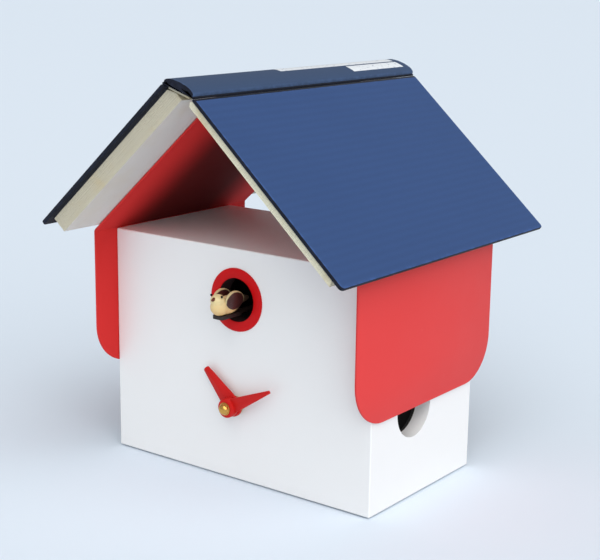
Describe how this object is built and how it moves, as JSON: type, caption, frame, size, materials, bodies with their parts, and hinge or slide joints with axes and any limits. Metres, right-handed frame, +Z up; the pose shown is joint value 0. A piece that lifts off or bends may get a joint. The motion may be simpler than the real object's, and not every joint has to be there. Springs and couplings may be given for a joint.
{
  "type": "cuckoo clock",
  "caption": "White box cuckoo clock with a folded red steel saddle and an open hardback book laid over it as the roof.",
  "frame": {"origin": "middle of the underside that the clock stands on", "axes": "+X to the clock's right as you face the dial, +Y to its back, +Z up"},
  "size_m": [0.2289, 0.2258, 0.2518],
  "materials": {
    "white_lacquer": "white satin lacquer on fibreboard",
    "base_felt": "thin pressed felt",
    "raw_board": "plain softwood",
    "back_board": "black hardboard",
    "screw_steel": "zinc plated",
    "red_gloss": "gloss red",
    "red_steel": "satin red powder coat",
    "foam": "thin foam tape",
    "black_cloth": "acoustic cloth",
    "book_cloth": "navy book cloth",
    "pages": "aged cream pages",
    "movement_plastic": "black moulded plastic",
    "natural_plastic": "natural acetal",
    "brass": "polished brass",
    "wheel_brass": "turned brass",
    "red_hand": "gloss red",
    "core_steel": "laminated core",
    "copper": "enamelled copper winding",
    "magnet": "sintered magnet",
    "circuit": "green circuit board",
    "rod_steel": "ground steel rod",
    "motor_can": "drawn steel can",
    "bird_cream": "cream painted wood",
    "bird_wing": "dark red-brown painted wood",
    "beak": "orange brown paint",
    "eye": "gloss black bead",
    "perch_wood": "dark stained wood",
    "cone_paper": "pressed paper cone",
    "cell": "plain cell jackets",
    "contact": "nickel plated spring steel"
  },
  "bodies": {
    "case": {"front_panel": "white_lacquer", "left_panel": "white_lacquer", "right_panel": "white_lacquer", "top_panel": "white_lacquer", "bottom_panel": "white_lacquer", "base_sheet": "base_felt", "corner_blocks": "raw_board", "back_cover": "back_board", "back_screws": "screw_steel", "bird_ring": "red_gloss", "sound_gaskets": "foam", "sound_cloths": "black_cloth", "saddle": "red_steel", "adhesive_pads": "foam", "movement_front_shell": "movement_plastic", "movement_rear_shell": "movement_plastic", "movement_nut": "brass", "movement_board": "circuit", "stator": "core_steel", "coil": "copper", "guide_rods": "rod_steel", "cuckoo_frame": "natural_plastic", "frame_screws": "screw_steel", "gear_motor": "motor_can", "speaker_basket": "movement_plastic", "speaker_cone": "cone_paper", "speaker_magnet": "magnet", "main_board": "circuit", "board_spacers": "natural_plastic", "battery_tray": "movement_plastic", "batteries": "cell", "battery_contacts": "contact"},
    "minute_group": {"minute_hand": "red_hand", "hand_cap": "brass", "centre_wheel": "wheel_brass"},
    "hour_group": {"hour_hand": "red_hand", "hour_wheel": "natural_plastic"},
    "motion_wheel": {"motion_wheel": "natural_plastic"},
    "third_wheel": {"third_wheel": "natural_plastic"},
    "rotor": {"rotor": "magnet"},
    "setting_knob": {"setting_knob": "natural_plastic"},
    "cuckoo": {"carriage": "natural_plastic", "perch": "perch_wood", "bird_body": "bird_cream", "bird_left_wing": "bird_wing", "bird_right_wing": "bird_wing", "bird_beak": "beak", "bird_eyes": "eye"},
    "drive_gear": {"drive_gear": "natural_plastic"},
    "book_spine": {"spine_strip": "book_cloth"},
    "book_left": {"left_cover": "book_cloth", "left_pages": "pages"},
    "book_right": {"right_cover": "book_cloth", "right_pages": "pages"},
    "battery_lid": {"battery_lid": "movement_plastic"},
    "volume_slider": {"volume_slider": "movement_plastic"}
  },
  "joints": [
    {"name": "minute_turn", "type": "hinge", "parent": "case", "child": "minute_group", "pos_m": [0, 0, 0.0496], "axis": [0, 1, 0], "continuous": true},
    {"name": "hour_turn", "type": "hinge", "parent": "case", "child": "hour_group", "pos_m": [0, 0, 0.0496], "axis": [0, 1, 0], "continuous": true},
    {"name": "motion_turn", "type": "hinge", "parent": "case", "child": "motion_wheel", "pos_m": [0, 0, 0.0388], "axis": [0, 1, 0], "continuous": true},
    {"name": "third_turn", "type": "hinge", "parent": "case", "child": "third_wheel", "pos_m": [-0.00883, 0, 0.0547], "axis": [0, 1, 0], "continuous": true},
    {"name": "rotor_turn", "type": "hinge", "parent": "case", "child": "rotor", "pos_m": [-0.01024, 0, 0.06268], "axis": [0, 1, 0], "continuous": true},
    {"name": "knob_turn", "type": "hinge", "parent": "case", "child": "setting_knob", "pos_m": [0, 0, 0.028], "axis": [0, 1, 0], "continuous": true},
    {"name": "bird_slide", "type": "slide", "parent": "case", "child": "cuckoo", "axis": [0, 1, 0], "range_m": [0, 0.036]},
    {"name": "drive_turn", "type": "hinge", "parent": "case", "child": "drive_gear", "pos_m": [0.023, -0.002, 0], "axis": [0, 0, 1], "range_deg": [-345, 0]},
    {"name": "book_lift", "type": "slide", "parent": "case", "child": "book_spine", "axis": [0, 0, 1], "range_m": [0, 0.12]},
    {"name": "left_half_open", "type": "hinge", "parent": "book_spine", "child": "book_left", "pos_m": [-0.01246, 0, 0.24989], "axis": [0, 1, 0], "range_deg": [0, 40]},
    {"name": "right_half_open", "type": "hinge", "parent": "book_spine", "child": "book_right", "pos_m": [0.01025, 0, 0.24233], "axis": [0, -1, 0], "range_deg": [0, 40]},
    {"name": "lid_off", "type": "slide", "parent": "case", "child": "battery_lid", "axis": [0, 1, 0], "range_m": [0, 0.03]},
    {"name": "volume_set", "type": "slide", "parent": "case", "child": "volume_slider", "axis": [1, 0, 0], "range_m": [-0.002, 0.002]}
  ],
  "couplings": [
    {"joint": "hour_turn", "follows": "minute_turn", "ratio": 0.083333},
    {"joint": "motion_turn", "follows": "minute_turn", "ratio": -0.33333},
    {"joint": "third_turn", "follows": "minute_turn", "ratio": -7.5},
    {"joint": "rotor_turn", "follows": "minute_turn", "ratio": 60},
    {"joint": "knob_turn", "follows": "minute_turn", "ratio": 1},
    {"joint": "drive_turn", "follows": "bird_slide", "rad_per_m": -166.67}
  ]
}
